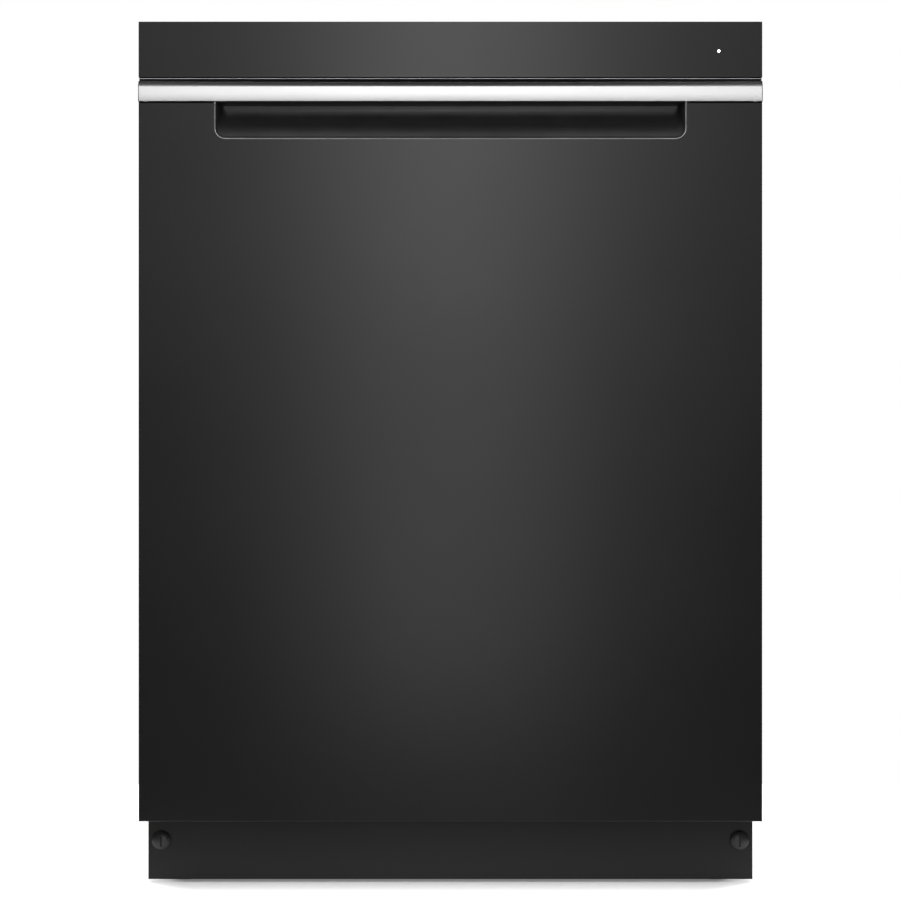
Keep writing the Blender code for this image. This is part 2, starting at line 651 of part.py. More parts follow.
def make_outer_panel(door):
    sheet = 0.0012
    panel = box("door_outer_panel", (-DOOR_HALF, DOOR_Y, DOOR_BOTTOM), (DOOR_HALF, DOOR_BACK_Y, DOOR_TOP))
    bm = bmesh.new()
    bm.from_mesh(panel.data)
    front = [edge for edge in bm.edges if all(vert.co.y < DOOR_Y + 0.001 for vert in edge.verts)]
    bmesh.ops.bevel(bm, geom=front, offset=0.0010, segments=2, affect="EDGES", profile=0.5)
    bm.to_mesh(panel.data)
    bm.free()
    inside = box("cutter", (-DOOR_HALF + sheet, DOOR_Y + sheet, DOOR_BOTTOM + sheet),
                 (DOOR_HALF - sheet, 0, DOOR_TOP - sheet))
    mouth = pocket_outline(POCKET_HALF, POCKET_BOTTOM, POCKET_CORNER, HEIGHT)
    pocket = extrusion("cutter", mouth, "Y", [(FRONT_Y - 0.01, POCKET_BACK_Y + 0.002)])
    notches = []
    for sign in (-1, 1):
        low, high = span(sign, EAR_INNER - 0.0030, DOOR_HALF - sheet)
        notches.append(((low, DOOR_Y + sheet, DOOR_BOTTOM - 0.01), (high, 0, DOOR_BOTTOM + 0.01)))
    ears_pass = boxes("cutter", notches)
    finish(cut(panel, inside, pocket, ears_pass), "black_steel", origin=door.location, parent=door)


def pocket_outline(half, bottom, corner, top):
    """A tall rectangle whose two lower corners are round."""
    right = arc((half - corner, bottom + corner), corner, -90, 0, 6)
    left = arc((corner - half, bottom + corner), corner, 180, 270, 6)
    return right + [(half, top), (-half, top)] + left


def make_handle(door):
    thick = 0.0025
    outer = [(FRONT_Y + 0.0065 - 0.0065 * math.cos(math.radians(a)),
              STRIP_BEND + (STRIP_TOP - STRIP_BEND) * math.sin(math.radians(a)))
             for a in (0, 22.5, 45, 67.5, 90)]
    back = DOOR_BACK_Y - 0.003
    profile = [(FRONT_Y, STRIP_BOTTOM), *outer, (back, STRIP_TOP), (back, STRIP_TOP - 0.0016),
               (FRONT_Y + 0.0065, STRIP_TOP - 0.0016), (FRONT_Y + 0.0040, STRIP_BEND + 0.0025),
               (FRONT_Y + thick, STRIP_BEND), (FRONT_Y + thick, STRIP_BOTTOM)]
    strip = extrusion("handle_trim", profile, "X", [(-STRIP_HALF, STRIP_HALF)])
    for sign in (-1, 1):
        low, high = span(sign, STRIP_HALF - 0.0015, STRIP_HALF)
        outline = [(FRONT_Y + 0.0002, STRIP_BOTTOM + 0.0001), (FRONT_Y + 0.0030, STRIP_TOP - 0.0020),
                   (FRONT_Y + 0.0060, STRIP_TOP - 0.0008), (back - 0.0001, STRIP_TOP - 0.0008),
                   (back - 0.0001, STRIP_BOTTOM + 0.0001)]
        join(strip, extrusion("cap", outline, "X", [(low, high)]))
    finish(strip, "satin_steel", origin=door.location, parent=door)
    top = STRIP_BEND - GAP
    front = FRONT_Y + thick + GAP
    shape = pocket_outline(POCKET_HALF - GAP, POCKET_BOTTOM + GAP, POCKET_CORNER - GAP, top)
    scoop = extrusion("handle_pocket", shape, "Y", [(front, POCKET_BACK_Y)])
    hollow = pocket_outline(POCKET_HALF - GAP - POCKET_WALL, POCKET_BOTTOM + GAP + POCKET_WALL,
                            POCKET_CORNER - GAP - POCKET_WALL, top - POCKET_WALL)
    cut(scoop, extrusion("cutter", hollow, "Y", [(front - 0.01, POCKET_BACK_Y - POCKET_WALL)]))
    finish(scoop, "black_plastic", origin=door.location, parent=door)


def make_console(door):
    sheet = 0.0022
    light = (0.2606, 0.8165)
    console = box("console_panel", (-DOOR_HALF, DOOR_Y, CONSOLE_BOTTOM), (DOOR_HALF, DOOR_BACK_Y, HEIGHT))
    inside = box("cutter", (-DOOR_HALF + sheet, DOOR_Y + sheet, CONSOLE_BOTTOM + 0.0015),
                 (DOOR_HALF - sheet, 0, HEIGHT + 0.01))
    hole = rod("cutter", "Y", light, 0.0016, DOOR_Y - 0.01, DOOR_Y + 0.01, 16)
    finish(cut(console, inside, hole), "black_gloss", origin=door.location, parent=door)
    lens = rod("status_light", "Y", light, 0.00135, DOOR_Y - 0.0001, DOOR_Y + 0.0060, 16)
    finish(lens, "lens", origin=door.location, parent=door)
    inner = DOOR_HALF - sheet - GAP
    strip = box("control_strip", (-inner, DOOR_Y + sheet + GAP, HEIGHT - 0.0022),
                (inner, DOOR_BACK_Y - GAP, HEIGHT - 0.0002))
    middle = (DOOR_Y + sheet + DOOR_BACK_Y) / 2
    half_x, half_y, thick = 0.0150, 0.0060, 0.0060
    holes = []
    for name, x in (("power", -0.2300), ("cycle", -0.1500), ("options", -0.1000), ("start", 0.2300)):
        holes.append(((x - half_x - GAP, middle - half_y - GAP, HEIGHT - 0.01),
                      (x + half_x + GAP, middle + half_y + GAP, HEIGHT + 0.01)))
        button = box("button_" + name, (x - half_x, middle - half_y, HEIGHT - thick),
                     (x + half_x, middle + half_y, HEIGHT))
        finish(button, "black_gloss", origin=(x, middle, HEIGHT), parent=door)
    finish(cut(strip, boxes("cutter", holes)), "black_plastic", origin=door.location, parent=door)


def make_inner_panel(door):
    """A pressed sheet with a shallow pan, notched round the hinges and open at the dispenser."""
    rings = []
    face = LINER_Y
    for low, high, radius, y in (
            ((-LINER_HALF, LINER_BOTTOM), (LINER_HALF, LINER_TOP), 0.0040, face),
            ((-0.2600, 0.1450), (0.2600, 0.7600), 0.0400, face),
            ((-0.2520, 0.1530), (0.2520, 0.7520), 0.0320, face - 0.0100)):
        rings.append([(x, y, z) for x, z in rounded(low, high, radius, 4)])
    bm = bmesh.new()
    made = [[bm.verts.new(point) for point in ring] for ring in rings]
    count = len(made[0])
    for outer, inner in zip(made, made[1:]):
        for i in range(count):
            j = (i + 1) % count
            bm.faces.new((outer[i], inner[i], inner[j], outer[j]))
    bm.faces.new(made[-1][::-1])
    mesh = bpy.data.meshes.new("door_inner_panel")
    bm.to_mesh(mesh)
    bm.free()
    panel = bpy.data.objects.new("door_inner_panel", mesh)
    bpy.context.collection.objects.link(panel)
    step = panel.modifiers.new("sheet", "SOLIDIFY")
    step.thickness = LINER_SHEET
    step.offset = -1.0
    baked(panel)
    notches = []
    for sign in (-1, 1):
        low, high = span(sign, 0.2780, 0.32)
        notches.append(box("cutter", (low, -0.3, 0.05), (high, -0.2, 0.1065)))
    dispenser = box("cutter", (-0.0953, -0.3, 0.3947), (0.0953, -0.2, 0.5853))
    strike = box("cutter", (-0.0090, -0.3, 0.8240), (0.0090, -0.2, 0.8365))
    finish(cut(panel, *notches, dispenser, strike), "tub_steel", origin=door.location, parent=door)


def make_door_inside(door):
    latch = box("latch", (-0.0220, -0.3000, 0.8120), (0.0220, DOOR_BACK_Y - GAP, 0.8418))
    mouth = box("cutter", (-0.0090, -0.2870, 0.8235), (0.0090, -0.2, 0.8370))
    finish(cut(latch, mouth), "black_plastic", origin=door.location, parent=door)
    face = LINER_Y + 0.0005
    cap_xz = (0.0450, 0.5300)
    cap_radius = 0.0195
    body = box("dispenser_body", (-0.0950, -0.2900, 0.3950), (0.0950, face, 0.5850))
    cup = box("cutter", (-0.0800, -0.2820, 0.4870), (-0.0050, 0, 0.5730))
    well = rod("cutter", "Y", cap_xz, cap_radius + 0.0006, -0.2720, 0, 28)
    finish(cut(body, cup, well), "grey_plastic", origin=door.location, parent=door)
    lid = box("dispenser_lid", (-0.0840, face + GAP, 0.4820), (-0.0010, face + 0.0030, 0.5780))
    grip = box("grip", (-0.0740, face + 0.0020, 0.4900), (-0.0110, face + 0.0060, 0.4960))
    finish(join(lid, grip), "grey_plastic", origin=(-0.0425, face, 0.5300), parent=door)
    cap = rod("rinse_aid_cap", "Y", cap_xz, cap_radius, -0.2715, face - 0.0005, 28)
    wing = box("wing", (cap_xz[0] - 0.0150, face - 0.0015, cap_xz[1] - 0.0025),
               (cap_xz[0] + 0.0150, face + 0.0045, cap_xz[1] + 0.0025))
    finish(join(cap, wing), "grey_plastic", origin=(cap_xz[0], face, cap_xz[1]), parent=door)
    for name, sign in sides():
        low, high = span(sign, 0.2815, 0.2855)
        arm = box("hinge_arm_" + name, (low, HINGE_Y - 0.0120, HINGE_Z), (high, HINGE_Y + 0.0080, 0.2300))
        eye = rod("eye", "X", (HINGE_Y, HINGE_Z), 0.0145, low - 0.0002, high + 0.0002, 24)
        hole = rod("cutter", "X", (HINGE_Y, HINGE_Z), 0.0046, low - 0.01, high + 0.01, 16)
        finish(cut(join(arm, eye), hole), "plated_steel", origin=door.location, parent=door)


def main():
    for thing in list(bpy.data.objects):
        bpy.data.objects.remove(thing)
    make_base()
    make_legs()
    make_toe_kick()
    make_tub()
    make_gasket()
    make_blanket()
    make_tub_fixings()
    make_springs()
    make_sump()
    make_wash_system()
    make_pumps()
    carrier = make_lower_rack()
    make_silverware_basket(carrier)
    make_upper_rack()
    door = joint_empty("door_hinge", (0, HINGE_Y, HINGE_Z))
    make_outer_panel(door)
    make_handle(door)
    make_console(door)
    make_inner_panel(door)
    make_door_inside(door)


main()
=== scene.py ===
"""Looks of the built-in dishwasher: finishes, fine wire racks, soft pieces, light and camera.

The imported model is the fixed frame. Metres, +Z up, the front faces -Y.
"""

import json
import math

import bmesh
import bpy
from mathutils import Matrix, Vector, noise


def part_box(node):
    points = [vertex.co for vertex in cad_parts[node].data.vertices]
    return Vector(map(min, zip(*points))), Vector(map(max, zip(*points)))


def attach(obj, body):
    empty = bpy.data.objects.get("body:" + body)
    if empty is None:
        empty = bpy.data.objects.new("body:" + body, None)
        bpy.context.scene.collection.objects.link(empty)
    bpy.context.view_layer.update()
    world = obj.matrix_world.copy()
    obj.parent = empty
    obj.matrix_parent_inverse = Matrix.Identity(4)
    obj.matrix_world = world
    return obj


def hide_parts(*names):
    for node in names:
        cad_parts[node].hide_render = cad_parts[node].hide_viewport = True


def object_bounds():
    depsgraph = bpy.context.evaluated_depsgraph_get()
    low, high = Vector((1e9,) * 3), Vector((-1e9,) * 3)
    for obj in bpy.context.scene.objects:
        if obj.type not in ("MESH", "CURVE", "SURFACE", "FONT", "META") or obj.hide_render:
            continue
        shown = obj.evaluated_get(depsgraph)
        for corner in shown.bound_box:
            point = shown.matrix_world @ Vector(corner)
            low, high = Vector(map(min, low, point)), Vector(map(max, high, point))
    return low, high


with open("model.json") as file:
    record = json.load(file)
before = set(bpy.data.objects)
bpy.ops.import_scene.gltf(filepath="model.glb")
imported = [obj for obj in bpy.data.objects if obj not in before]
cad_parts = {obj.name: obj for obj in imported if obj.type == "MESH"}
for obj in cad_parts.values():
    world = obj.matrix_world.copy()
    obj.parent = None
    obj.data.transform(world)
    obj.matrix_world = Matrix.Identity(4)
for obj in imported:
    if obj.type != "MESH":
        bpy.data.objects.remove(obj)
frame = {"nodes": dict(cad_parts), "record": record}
CAD_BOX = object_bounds()
NODES = frame["nodes"]
SLOT_OF = {part["node"]: part["material_slot"] for part in frame["record"]["subparts"]}
SIDES = (("left", -1), ("right", 1))

RACK_HALF = 0.2500              # half the width of both racks' wire baskets
WIRE = 0.0017                   # radii of a basket's plain wires, rims and tines
RIM_WIRE = 0.0024
TINE_WIRE = 0.0016


# Procedural finishes

def surface(name, dark, light, rough, metallic=0.0, grain=40.0, stretch=(1, 1, 1), bump=0.1,
            bump_grain=600.0, depth=0.0002, specular=0.5):
    """A finish whose colour and roughness wander with one noise, and whose relief is another."""
    made = bpy.data.materials.new(name)
    made.use_nodes = True
    tree = made.node_tree
    shader = tree.nodes["Principled BSDF"]
    shader.inputs["Metallic"].default_value = metallic
    shader.inputs["Specular IOR Level"].default_value = specular
    place = tree.nodes.new("ShaderNodeTexCoord")
    mapping = tree.nodes.new("ShaderNodeMapping")
    mapping.inputs["Scale"].default_value = stretch
    tree.links.new(place.outputs["Object"], mapping.inputs["Vector"])
    tone = noise_node(tree, mapping, grain)
    ramp = tree.nodes.new("ShaderNodeMix")
    ramp.data_type = "RGBA"
    ramp.inputs["A"].default_value = (*dark, 1.0)
    ramp.inputs["B"].default_value = (*light, 1.0)
    tree.links.new(tone.outputs["Fac"], ramp.inputs["Factor"])
    tree.links.new(ramp.outputs["Result"], shader.inputs["Base Color"])
    gloss = tree.nodes.new("ShaderNodeMapRange")
    gloss.inputs["From Min"].default_value = 0.3
    gloss.inputs["From Max"].default_value = 0.7
    gloss.inputs["To Min"].default_value = rough[0]
    gloss.inputs["To Max"].default_value = rough[1]
    tree.links.new(tone.outputs["Fac"], gloss.inputs["Value"])
    tree.links.new(gloss.outputs["Result"], shader.inputs["Roughness"])
    relief = noise_node(tree, mapping, bump_grain)
    bumps = tree.nodes.new("ShaderNodeBump")
    bumps.inputs["Strength"].default_value = bump
    bumps.inputs["Distance"].default_value = depth
    tree.links.new(relief.outputs["Fac"], bumps.inputs["Height"])
    tree.links.new(bumps.outputs["Normal"], shader.inputs["Normal"])
    return made


def noise_node(tree, mapping, scale):
    made = tree.nodes.new("ShaderNodeTexNoise")
    made.inputs["Scale"].default_value = scale
    made.inputs["Detail"].default_value = 4.0
    tree.links.new(mapping.outputs["Vector"], made.inputs["Vector"])
    return made


def grey(value):
    return (value, value, value)


def make_finishes():
    along_x = (0.02, 1, 1)
    finishes = {
        "door_black": surface("door_black", grey(0.0046), grey(0.0058), (0.295, 0.315), grain=9,
                              bump=0.04, bump_grain=900, specular=0.15),
        "kick_black": surface("kick_black", grey(0.0050), grey(0.0064), (0.35, 0.39), grain=14,
                              bump=0.08, bump_grain=1300, specular=0.20),
        "console_gloss": surface("console_gloss", grey(0.0045), grey(0.0056), (0.290, 0.310), grain=9,
                                 bump=0.03, bump_grain=700, specular=0.15),
        "handle_steel": surface("handle_steel", grey(0.42), grey(0.46), (0.40, 0.44), metallic=1.0,
                                grain=900, stretch=along_x, bump=0.03, bump_grain=2400),
        "tub_steel": surface("tub_steel", grey(0.54), grey(0.60), (0.27, 0.33), metallic=1.0,
                             grain=18, bump=0.02, bump_grain=60),
        "plated_steel": surface("plated_steel", grey(0.44), grey(0.56), (0.36, 0.46), metallic=1.0,
                                grain=90, bump=0.06, bump_grain=700),
        "black_plastic": surface("black_plastic", grey(0.009), grey(0.014), (0.34, 0.42), grain=60,
                                 bump=0.08, bump_grain=1800, specular=0.34),
        "grey_plastic": surface("grey_plastic", grey(0.27), grey(0.32), (0.38, 0.50), grain=30,
                                bump=0.12, bump_grain=1400),
        "rack_nylon": surface("rack_nylon", grey(0.38), grey(0.46), (0.36, 0.46), grain=70,
                              bump=0.10, bump_grain=900),
        "seal_rubber": surface("seal_rubber", grey(0.022), grey(0.034), (0.66, 0.82), grain=80,
                               bump=0.15, bump_grain=1200),
        "blanket_felt": surface("blanket_felt", grey(0.030), grey(0.105), (0.88, 1.0), grain=300,
                                bump=1.0, bump_grain=700, depth=0.0020),
        "lens": surface("lens", grey(0.86), grey(0.95), (0.10, 0.16), grain=200, bump=0.02),
    }
    strip = finishes["handle_steel"].node_tree.nodes["Principled BSDF"]
    strip.inputs["Anisotropic"].default_value = 0.85
    light = finishes["lens"].node_tree.nodes["Principled BSDF"]
    light.inputs["Emission Color"].default_value = (0.92, 0.97, 1.0, 1.0)
    light.inputs["Emission Strength"].default_value = 2.2
    return finishes


FINISH = make_finishes()


# Mesh helpers

def add_piece(name, bm, slot, body, stands_for=(), angle=35):
    """Turns a bmesh into a finished piece that rides on a body; edges steeper than angle stay sharp."""
    bmesh.ops.recalc_face_normals(bm, faces=bm.faces)
    mesh = bpy.data.meshes.new(name)
    bm.to_mesh(mesh)
    bm.free()
    mesh.shade_smooth()
    mesh.set_sharp_from_angle(angle=math.radians(angle))
    mesh.materials.append(FINISH[slot])
    made = bpy.data.objects.new(name, mesh)
    bpy.context.scene.collection.objects.link(made)
    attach(made, body)
    if stands_for:
        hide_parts(*stands_for)
    return made


def put(axis, level, first, second):
    """A point from its place along `axis` and its other two coordinates in order."""
    point = [first, second]
    point.insert("XYZ".index(axis), level)
    return point


def skin(bm, rings, closed=False):
    """Joins neighbouring rings of as many corners with faces, and the last to the first if closed."""
    pairs = list(zip(rings, rings[1:]))
    if closed:
        pairs.append((rings[-1], rings[0]))
    for first, second in pairs:
        for i in range(len(first)):
            j = (i + 1) % len(first)
            bm.faces.new((first[i], first[j], second[j], second[i]))


def extrude(bm, outline, axis, start, end):
    """Adds a closed prism of a flat outline."""
    caps = [[bm.verts.new(put(axis, level, u, v)) for u, v in outline] for level in (start, end)]
    bm.faces.new(caps[0])
    bm.faces.new(caps[1])
    skin(bm, caps)


def arc(centre, radius, start, end, steps):
    """Points of an arc, or of an ellipse's when radius is a pair; angles in degrees."""
    ru, rv = radius if isinstance(radius, tuple) else (radius, radius)
    points = []
    for i in range(steps + 1):
        angle = math.radians(start + (end - start) * i / steps)
        points.append((centre[0] + ru * math.cos(angle), centre[1] + rv * math.sin(angle)))
    return points


def rounded(low, high, radius, steps=4):
    """The outline of a rectangle with round corners."""
    points = []
    for u, v, start in ((high[0] - radius, low[1] + radius, -90), (high[0] - radius, high[1] - radius, 0),
                        (low[0] + radius, high[1] - radius, 90), (low[0] + radius, low[1] + radius, 180)):
        points += arc((u, v), radius, start, start + 90, steps)
    return points


def block(bm, low, high, radius=0.001, axis="Z"):
    """Adds a box whose edges along `axis` are round."""
    i, j = [k for k in range(3) if k != "XYZ".index(axis)]
    a = "XYZ".index(axis)
    extrude(bm, rounded((low[i], low[j]), (high[i], high[j]), radius), axis, low[a], high[a])


def turn(bm, profile, axis, centre, segments=40):
    """Adds (radius, level) points turned about a line along `axis`; the ends close on it."""
    rings = []
    for radius, level in profile:
        if radius == 0:
            rings.append([bm.verts.new(put(axis, level, *centre))])
        else:
            circle = arc(centre, radius, 0, 360 - 360 / segments, segments - 1)
            rings.append([bm.verts.new(put(axis, level, u, v)) for u, v in circle])
    pairs = list(zip(rings, rings[1:]))
    if profile[0][0] > 0:
        pairs.append((rings[-1], rings[0]))
    for lower, upper in pairs:
        for i in range(segments):
            j = (i + 1) % segments
            corners = [lower[i], lower[j]] if len(lower) > 1 else [lower[0]]
            corners += [upper[j], upper[i]] if len(upper) > 1 else [upper[0]]
            bm.faces.new(corners)


def bent(points, radius, steps=5):
    """A polyline whose inner corners are arcs of about the given radius."""
    points = [Vector(p) for p in points]
    made = [points[0]]
    for before, corner, after in zip(points, points[1:], points[2:]):
        reach = min(radius, (before - corner).length / 2, (after - corner).length / 2)
        start = corner + (before - corner).normalized() * reach
        end = corner + (after - corner).normalized() * reach
        for i in range(steps + 1):
            t = i / steps
            made.append(start * (1 - t) ** 2 + corner * 2 * t * (1 - t) + end * t * t)
    made.append(points[-1])
    return made


def wires(name, groups, slot, body, stands_for=()):
    """One piece of round wires: groups is a list of (radius, closed, list of point lists)."""
    parts = []
    for radius, closed, paths in groups:
        curve = bpy.data.curves.new(name, "CURVE")
        curve.dimensions = "3D"
        curve.bevel_depth = radius
        curve.bevel_resolution = 3
        curve.use_fill_caps = True
        for path in paths:
            spline = curve.splines.new("POLY")
            spline.points.add(len(path) - 1)
            for target, point in zip(spline.points, path):
                target.co = (*point, 1.0)
            spline.use_cyclic_u = closed
        parts.append(bpy.data.objects.new(name, curve))
        bpy.context.scene.collection.objects.link(parts[-1])
    graph = bpy.context.evaluated_depsgraph_get()
    bm = bmesh.new()
    for part in parts:
        mesh = bpy.data.meshes.new_from_object(part.evaluated_get(graph))
        bm.from_mesh(mesh)
        bpy.data.meshes.remove(mesh)
        bpy.data.objects.remove(part)
    return add_piece(name, bm, slot, body, stands_for, angle=50)


def spread(start, end, count):
    """Evenly spaced values, both ends included."""
    return [start + (end - start) * i / (count - 1) for i in range(count)]


# Door front

def make_handle():
    """The satin strip: a slightly crowned face, a rolled top, a groove and a thin upper lip."""
    low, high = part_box("handle_trim")
    front, back = low.y, high.y
    bottom, top = low.z, high.z
    bend = bottom + 0.0142          # where the face turns into the roll
    crown = bottom + 0.0098         # above this the face is upright
    cap_width = 0.0007
    face = [(front + 0.0012, bottom)]
    face += [(front + 10.5 * (crown - z) ** 2, z) for z in spread(bottom + 0.0004, crown, 9)]
    face.append((front, bend - 0.0004))
    radius, first, last = 0.0106, 21, 75
    centre = (front + radius * math.cos(math.radians(first)), bend - radius * math.sin(math.radians(first)))
    roll = arc(centre, radius, 180 - first, 180 - last, 12)
    inner = [(back, top), (back, top - 0.0016), (front + 0.0110, top - 0.0016),
             (front + 0.0044, bend - 0.001), (front + 0.0026, bottom + 0.004), (front + 0.0026, bottom)]
    bm = bmesh.new()
    extrude(bm, face + roll + inner, "X", low.x + cap_width, high.x - cap_width)
    add_piece("handle_strip", bm, "handle_steel", "door", ["handle_trim"], angle=18)

    lip_low, lip_high, lip_back = top + 0.0015, top + 0.0019, front + 0.0046
    bm = bmesh.new()
    block(bm, (low.x + 0.0003, front + 0.0034, lip_low), (high.x - 0.0003, lip_back, lip_high), 0.0002, "X")
    add_piece("handle_lip", bm, "handle_steel", "door", angle=18)

    bm = bmesh.new()
    start, crest = lip_back + 0.0001, lip_high + 0.0009
    # Black block behind the lip that paints the shade in the groove above the strip.
    groove_shade_fill = [(start, lip_low), (start, lip_high), (front + 0.0075, crest), (back, crest),
              (back, top + 0.0001), (front + 0.0120, top + 0.0001), (front + 0.0106, lip_low)]
    extrude(bm, groove_shade_fill, "X", low.x + 0.0004, high.x - 0.0004)
    # Black bar filling the gap under the strip; it paints the dark shadow line there.
    gap_shade_fill = [(front + 0.0030, bottom - 0.0001), (back, bottom - 0.0001), (back, bottom - 0.0014),
             (front + 0.0052, bottom - 0.0014)]
    extrude(bm, gap_shade_fill, "X", low.x + 0.0001, high.x - 0.0001)
    cap = [(front + 0.0003, bottom)] + face[4:] + roll + [(back, top), (back, bottom)]
    for sign in (-1, 1):
        extrude(bm, cap, "X", *sorted((sign * high.x, sign * (high.x - cap_width))))
    # One piece: the strip's two end caps, plus the two black blocks that paint shade in the groove and under
    # the strip.
    add_piece("handle_end_caps_and_shade_fills", bm, "black_plastic", "door")


def pocket_outline(half, bottom, corner, top, steps=10):
    """An upright-sided outline with round lower corners, from its lower middle round to the right."""
    right = arc((half - corner, bottom + corner), corner, -90, 0, steps)
    left = arc((corner - half, bottom + corner), corner, 180, 270, steps)
    return right + [(half, top), (-half, top)] + left


def make_pocket():
    """The moulded scoop with sloping sides and a deep back, a bright bead on its rim and a bevel round it."""
    low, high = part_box("handle_pocket")
    half, bottom, top = high.x, low.z, high.z
    corner = 0.0107
    stations = [                    # inset from the outline, depth behind the rim, corner radius
        (0.0000, 0.0032, 0.0107), (0.0000, 0.0006, 0.0107), (0.0002, 0.0001, 0.0106),
        (0.0004, 0.0000, 0.0104), (0.0009, 0.0002, 0.0102), (0.0014, 0.0005, 0.0099),
        (0.0017, 0.0011, 0.0096), (0.0040, 0.0022, 0.0085), (0.0064, 0.0036, 0.0080),
        (0.0086, 0.0053, 0.0078), (0.0104, 0.0074, 0.0078), (0.0122, 0.0100, 0.0078),
        (0.0142, 0.0150, 0.0078), (0.0166, 0.0202, 0.0080), (0.0196, 0.0250, 0.0084),
        (0.0232, 0.0284, 0.0090), (0.0272, 0.0301, 0.0096), (0.0312, 0.0305, 0.0100)]
    rim_inset, rim_stations = 0.0017, 6
    side_share = 0.16               # how much of an inset beyond the rim the two ends take
    wall = 0.0014
    rim = low.y - 0.0006

    def ring(bm, inset, across, depth, radius, ceiling):
        outline = pocket_outline(half - across, bottom + inset, radius, ceiling)
        return [bm.verts.new((x, rim + depth, z)) for x, z in outline]

    bm = bmesh.new()
    inner = []
    for inset, depth, radius in stations:
        across = min(inset, rim_inset) + max(inset - rim_inset, 0) * side_share
        inner.append(ring(bm, inset, across, depth, radius, top - inset * 0.2))
    outer = []
    for inset, depth, radius in reversed(stations[rim_stations:]):
        across = max((inset - rim_inset) * side_share, 0)
        outer.append(ring(bm, inset - wall, across, min(depth + wall, high.y - rim), radius, top))
    skin(bm, outer + inner)
    bm.faces.new(outer[0])
    bm.faces.new(inner[-1])
    add_piece("finger_scoop", bm, "black_plastic", "door", ["handle_pocket"], angle=40)

    bead = [(0.0006, 0.0004), (0.0006, -0.0001), (0.00085, 0.0000), (0.00085, 0.0006)]
    bevel = [(-0.0013, 0.0012), (-0.0005, -0.0001), (0.0001, -0.0001), (0.0001, 0.0012)]
    for name, slot, section in (("scoop_rim", "handle_steel", bead), ("scoop_bezel", "black_plastic", bevel)):
        bm = bmesh.new()
        rings = [ring(bm, inset, inset, depth, corner - inset, top) for inset, depth in section]
        skin(bm, rings, closed=True)
        add_piece(name, bm, slot, "door", angle=40)


# Soft pieces

def make_blanket():
    """Quilted felt: one sheet over the tub's sides and top, and one on its back."""
    low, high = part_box("insulation_blanket")
    half = high.x - 0.0020
    top, back, bottom, front = high.z - 0.0020, high.y - 0.0020, low.z, low.y
    thick, corner = 0.0058, 0.012
    pitch, swell = 0.085, 0.0062    # of the quilting
    path = bent([(-half, 0, bottom), (-half, 0, top), (half, 0, top), (half, 0, bottom)], corner, 6)
    fine = []
    for a, b in zip(path, path[1:]):
        count = max(1, round((b - a).length / 0.0085))
        fine += [a.lerp(b, i / count) for i in range(count)]
    fine.append(path[-1])
    rows = 64
    bm = bmesh.new()

    def puff(u, v):
        """How far the felt swells between the crossing seams."""
        first = abs(((u + v) / pitch) % 1 - 0.5) * 2
        second = abs(((u - v) / pitch) % 1 - 0.5) * 2
        seam = min(1 - first, 1 - second)
        return swell * (1 - math.exp(-seam * 5)) + noise.noise((u * 22, v * 22, 1.7)) * 0.0008

    def sheet(point_at, out_at, wide, tall):
        """Adds a closed slab: a puffed outer side, a plain inner side and the rim between them."""
        skins = []
        for shift in (0.0, -thick):
            grid = []
            for i in range(wide + 1):
                row = []
                for j in range(tall + 1):
                    point, u, v = point_at(i, j)
                    from_edge = min(i, j, wide - i, tall - j)
                    lift = puff(u, v) * min(1.0, from_edge / 1.5) if shift == 0.0 else 0.0
                    row.append(bm.verts.new(point + out_at(i, j) * (shift + lift)))
                grid.append(row)
            skins.append(grid)
        for grid in skins:
            for i in range(wide):
                for j in range(tall):
                    bm.faces.new((grid[i][j], grid[i + 1][j], grid[i + 1][j + 1], grid[i][j + 1]))
        outer, inner = skins
        rim = [(i, 0) for i in range(wide)] + [(wide, j) for j in range(tall)]
        rim += [(i, tall) for i in range(wide, 0, -1)] + [(0, j) for j in range(tall, 0, -1)]
        for (i, j), (k, m) in zip(rim, rim[1:] + rim[:1]):
            bm.faces.new((outer[i][j], outer[k][m], inner[k][m], inner[i][j]))

    lengths = [0.0]
    for a, b in zip(fine, fine[1:]):
        lengths.append(lengths[-1] + (b - a).length)

    def wrap_point(i, j):
        """A point of the wrap, and its place along the felt both ways."""
        y = front + (back - front) * j / rows
        return Vector((fine[i].x, y, fine[i].z)), lengths[i], y

    def wrap_out(i, _):
        a, b = fine[max(i - 1, 0)], fine[min(i + 1, len(fine) - 1)]
        along = (b - a).normalized()
        return Vector((-along.z, 0, along.x))

    sheet(wrap_point, wrap_out, len(fine) - 1, rows)

    inset = thick + 0.0006          # leaves the wrap's own thickness and a hair between the sheets
    across, tall = 70, 84

    def back_point(i, j):
        x = (-half + inset) + 2 * (half - inset) * i / across
        z = bottom + (top - inset - bottom) * j / tall
        return Vector((x, back, z)), x, z

    sheet(back_point, lambda i, j: Vector((0, 1, 0)), across, tall)
    blanket = add_piece("quilted_blanket", bm, "blanket_felt", "root", ["insulation_blanket"], angle=70)


def make_gasket():
    """A bulb on a flat foot, swept round the opening."""
    low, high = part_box("tub_gasket")
    middle = 0.0037
    corners = rounded((low.x + middle, low.z + middle), (high.x - middle, high.z - middle), 0.016, 8)
    outline = arc((0, 0.0045), (0.0034, 0.0042), -20, 200, 12)
    outline += [(-0.0037, 0.0020), (-0.0037, 0.0004), (0.0037, 0.0004), (0.0037, 0.0020)]
    bm = bmesh.new()
    rings = []
    count = len(corners)
    for i in range(count):
        before, here, after = corners[i - 1], corners[i], corners[(i + 1) % count]
        along = (Vector(after) - Vector(before)).normalized()
        side = Vector((along.y, -along.x))
        rings.append([bm.verts.new((here[0] + side.x * u, high.y - w, here[1] + side.y * u))
                      for u, w in outline])
    skin(bm, rings, closed=True)
    add_piece("bulb_seal", bm, "seal_rubber", "root", ["tub_gasket"], angle=60)


